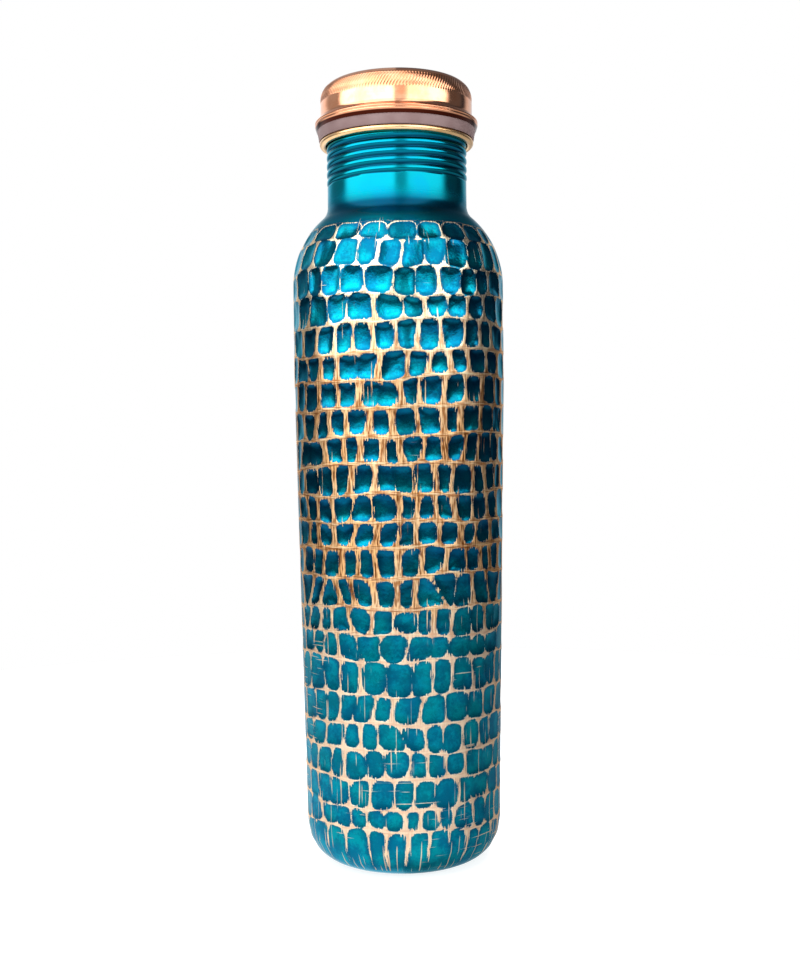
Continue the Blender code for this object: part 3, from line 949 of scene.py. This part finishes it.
def knurled_copper():
    """The cover's copper, with fine slanted strokes round its shoulder, painted shade in the strokes'
    grooves and painted shade under the bead.
    """
    material, nodes, shader, where = new_material("polished_copper")
    x, y, z = nodes.add("ShaderNodeSeparateXYZ", {"Vector": where}).outputs
    height = nodes.times(z, 1 / MM)
    lines = nodes.noise(where, 2600.0, 2.0, 0.6, stretch=(0.02, 0.02, 1))
    smear = nodes.noise(where, 160.0, 3.0, 0.6)
    colour = nodes.mix(nodes.step(smear, 0.3, 0.7), rgb(0.83, 0.34, 0.17), rgb(0.93, 0.46, 0.27))
    # Painted shade: the copper goes near black on the bead's underside.
    shade_under_bead = nodes.between(
        height, (BEAD_BOTTOM - 0.2, BEAD_BOTTOM), (BEAD_LOW - 0.1, BEAD_LOW + 0.25)
    )
    colour = nodes.mix(shade_under_bead, colour, rgb(0.06, 0.010, 0.005))
    turn = nodes.math("ARCTAN2", y, x)
    climb = nodes.times(nodes.minus(height, KNURL_BOTTOM), KNURL_LEAN)
    phase = nodes.times(nodes.minus(turn, climb), float(KNURLS))
    stroke = nodes.times_plus(nodes.math("COSINE", phase), 0.5, 0.5)
    band = nodes.between(
        height, (KNURL_BOTTOM + 0.1, KNURL_BOTTOM + 0.6), (KNURL_TOP - 0.35, KNURL_TOP)
    )
    stroke = nodes.times(stroke, band)
    # Painted shade: dark brown in the grooves of the slanted strokes.
    colour = nodes.mix(nodes.times(stroke, 0.45), colour, rgb(0.40, 0.13, 0.05))
    nodes.put(shader.inputs["Base Color"], colour)
    shader.inputs["Metallic"].default_value = 1.0
    nodes.put(shader.inputs["Roughness"], nodes.step(lines, 0.3, 0.7, 0.05, 0.13))
    normal = bump(nodes, shader, lines, 0.3, 0.00004)
    bump(nodes, shader, nodes.minus(1.0, stroke), 0.5, 0.0001, before=normal)
    return material


def satin_skirt():
    """The cap's satin skirt, a dull pinkish grey."""
    material, nodes, shader, where = new_material("satin_skirt")
    fine = nodes.noise(where, 1800.0, 3.0, 0.6, stretch=(0.15, 0.15, 1))
    broad = nodes.noise(where, 90.0, 2.0, 0.5)
    colour = nodes.mix(nodes.step(broad, 0.35, 0.65), rgb(0.20, 0.125, 0.12), rgb(0.25, 0.17, 0.165))
    nodes.put(shader.inputs["Base Color"], colour)
    shader.inputs["Metallic"].default_value = 0.35
    nodes.put(shader.inputs["Roughness"], nodes.step(fine, 0.3, 0.7, 0.42, 0.6))
    bump(nodes, shader, fine, 0.3, 0.00005)
    return material


def silicone():
    """Milky silicone rubber."""
    material, nodes, shader, where = new_material("seal_silicone")
    fine = nodes.noise(where, 1500.0, 3.0, 0.6)
    colour = nodes.mix(fine, rgb(0.74, 0.72, 0.67), rgb(0.84, 0.82, 0.78))
    nodes.put(shader.inputs["Base Color"], colour)
    nodes.put(shader.inputs["Roughness"], nodes.step(fine, 0.3, 0.7, 0.48, 0.62))
    shader.inputs["Subsurface Weight"].default_value = 0.25
    shader.inputs["Subsurface Radius"].default_value = (0.002, 0.0018, 0.0015)
    bump(nodes, shader, fine, 0.2, 0.00005)
    return material


# --- Studio, in metres -------------------------------------------------------------------
PANEL_LIGHT = 2.9
TABLE_LIGHT = 1.2
CEILING_LIGHT = 0.1
ROOM_LIGHT = (0.035, 0.04, 0.055)           # red, green and blue everywhere else
FLOOR_RADIUS = 0.5
FLOOR_DROP = 0.0002                         # just under the foot, so that the two never touch
FLOOR_GLOW = 0.82                           # lifts the table to the photo's near white
LAMP_PLACE = (0.0, -0.2, 0.95)
LAMP_SIZE = 0.9
LAMP_WATTS = 16.0
CAMERA_DISTANCE = 0.472
CAMERA_HEIGHT = 0.1425
CAMERA_LENS = 49.46                         # mm, on a sensor 36 mm wide
CAMERA_LEAN = math.radians(0.65)            # the photo's small roll about the line of sight
CAMERA_SHIFT = -0.0253                      # up and down, in sensor widths


def panel_light(nodes, side, up):
    """Two tall soft panels beside the camera, with a dark slit between them.

    side is the turn to the right from the camera and up the height, both in degrees. The right
    panel is narrower low down and high up, and fades out past the object's side.
    """
    left = nodes.times(
        nodes.step(side, -99.0, -86.0, 0.11, 1.0), nodes.step(side, -6.0, 0.0, 1.0, 0.3)
    )
    left = nodes.times(left, nodes.step(side, 8.0, 16.0, 1.0, 0.0))
    narrower = nodes.plus(nodes.step(up, 3.0, 10.0, 34.0, 0.0), nodes.step(up, 20.0, 32.0, 0.0, 20.0))
    right = nodes.times(
        nodes.step(side, 8.0, 22.0), nodes.step(nodes.plus(side, narrower), 74.0, 90.0, 0.85, 0.02)
    )
    right = nodes.times(right, nodes.step(side, 110.0, 125.0, 1.0, 0.0))
    height = nodes.times(nodes.step(up, -2.0, 10.0), nodes.step(up, 62.0, 86.0, 1.0, 0.12))
    bright_band = nodes.times(nodes.step(up, 11.0, 15.0, 1.0, 1.35), nodes.step(up, 22.0, 32.0, 1.0, 0.72))
    return nodes.times(nodes.plus(left, right), nodes.times(nodes.times(height, bright_band), PANEL_LIGHT))


def back_light(nodes, off, up):
    """The pale wall behind the object, off degrees to either side of the camera."""
    off = nodes.plus(off, nodes.step(up, 10.0, 14.0, 0.0, 12.0))
    back = nodes.times(nodes.step(off, 134.0, 152.0, 0.0, 0.7), nodes.step(up, -12.0, 0.0))
    return nodes.times(back, nodes.step(up, 16.0, 32.0, 1.0, 0.15))


def table_light(nodes, side, up):
    """The lit table top, dimmer to the right and straight below."""
    table = nodes.times(
        nodes.step(up, -16.0, -3.0, TABLE_LIGHT, 0.0), nodes.step(side, 10.0, 100.0, 1.0, 0.4)
    )
    return nodes.times(table, nodes.step(up, -80.0, -55.0, 0.62, 1.0))


def make_world():
    """White to the camera; for reflections, a studio set out by direction."""
    world = bpy.data.worlds.new("studio")
    bpy.context.scene.world = world
    world.use_nodes = True
    tree = world.node_tree
    tree.nodes.clear()
    nodes = Nodes(tree)
    way = nodes.add("ShaderNodeTexCoord").outputs["Generated"]
    x, y, z = nodes.add("ShaderNodeSeparateXYZ", {"Vector": way}).outputs
    side = nodes.math("ARCTAN2", x, nodes.times(y, -1.0))
    side = nodes.times(side, 180 / math.pi)
    off = nodes.math("ABSOLUTE", side)
    up = nodes.times(nodes.math("ARCSINE", z), 180 / math.pi)

    ceiling = nodes.step(up, 40.0, 80.0, 0.0, CEILING_LIGHT)
    total = nodes.plus(
        nodes.plus(panel_light(nodes, side, up), back_light(nodes, off, up)),
        nodes.plus(ceiling, table_light(nodes, side, up)),
    )
    channels = ("Red", "Green", "Blue")
    lit = {name: nodes.plus(total, room) for name, room in zip(channels, ROOM_LIGHT)}
    tint = nodes.add("ShaderNodeCombineColor", lit)
    studio = nodes.add("ShaderNodeBackground", {"Color": tint.outputs[0], "Strength": 1.0})
    plain = nodes.add("ShaderNodeBackground", {"Color": rgb(1, 1, 1), "Strength": 1.0})
    seen = nodes.add("ShaderNodeLightPath").outputs["Is Camera Ray"]
    both = nodes.add("ShaderNodeMixShader")
    for socket, value in zip(both.inputs, (seen, studio.outputs[0], plain.outputs[0])):
        nodes.put(socket, value)
    out = nodes.add("ShaderNodeOutputWorld")
    nodes.put(out.inputs["Surface"], both.outputs[0])


def make_floor():
    """A plain pale round table top."""
    mesh = bpy.data.meshes.new("floor")
    sides = 96
    turns = [TAU * i / sides for i in range(sides)]
    ring = [(FLOOR_RADIUS * math.cos(turn), FLOOR_RADIUS * math.sin(turn), 0.0) for turn in turns]
    mesh.from_pydata(ring, [], [list(range(sides))])
    floor = bpy.data.objects.new("floor", mesh)
    floor.location.z = -FLOOR_DROP
    bpy.context.scene.collection.objects.link(floor)
    material, nodes, shader, where = new_material("pale_table")
    fine = nodes.noise(where, 40.0, 3.0, 0.5)
    grey = nodes.mix(fine, rgb(0.30, 0.30, 0.30), rgb(0.34, 0.34, 0.34))
    nodes.put(shader.inputs["Base Color"], grey)
    shader.inputs["Roughness"].default_value = 0.9
    shader.inputs["Specular IOR Level"].default_value = 0.0
    shader.inputs["Emission Color"].default_value = rgb(1.0, 1.0, 1.0)
    shader.inputs["Emission Strength"].default_value = FLOOR_GLOW
    mesh.materials.append(material)
    floor.visible_glossy = False


def make_lamp(name, place, size, watts):
    """A soft lamp that lights the table but is not mirrored in the metal."""
    data = bpy.data.lights.new(name, "AREA")
    data.shape = "DISK"
    data.size = size
    data.energy = watts
    lamp = bpy.data.objects.new(name, data)
    lamp.location = place
    lamp.rotation_euler = (Vector((0, 0, 0)) - Vector(place)).to_track_quat("-Z", "Y").to_euler()
    lamp.visible_glossy = False
    bpy.context.scene.collection.objects.link(lamp)


def make_camera():
    """The camera in front of the bottle, level, near the middle of its height."""
    data = bpy.data.cameras.new("camera")
    data.sensor_width = 36.0
    data.lens = CAMERA_LENS
    data.shift_x = 0.0
    data.shift_y = CAMERA_SHIFT
    camera = bpy.data.objects.new("camera", data)
    camera.location = (0.0, -CAMERA_DISTANCE, CAMERA_HEIGHT)
    camera.rotation_mode = "XYZ"
    camera.rotation_euler = (math.radians(90), CAMERA_LEAN, 0.0)
    bpy.context.scene.collection.objects.link(camera)
    bpy.context.scene.camera = camera


# --- Assembly ----------------------------------------------------------------------------
inner_copper = spun_copper(
    "inner_copper", rgb(0.72, 0.36, 0.22), rgb(0.82, 0.45, 0.30), 0.28, 0.42
)
golden = spun_copper("golden_cup", rgb(0.86, 0.52, 0.22), rgb(0.95, 0.66, 0.36), 0.2, 0.32)

shell = make_shell(lacquered_copper(), inner_copper)
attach(shell, "bottle")
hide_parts("bottle_body")

cover = make_cover(knurled_copper(), satin_skirt(), inner_copper)
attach(cover, "cap")
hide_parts("cap_cover")

cup = make_cup(golden)
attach(cup, "cap")
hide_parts("cap_thread_cup")

seal = make_seal(silicone())
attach(seal, "seal")
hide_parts("cap_gasket")

make_world()
make_floor()
make_lamp("overhead", LAMP_PLACE, LAMP_SIZE, LAMP_WATTS)
make_camera()
bpy.context.scene.view_settings.view_transform = "Standard"
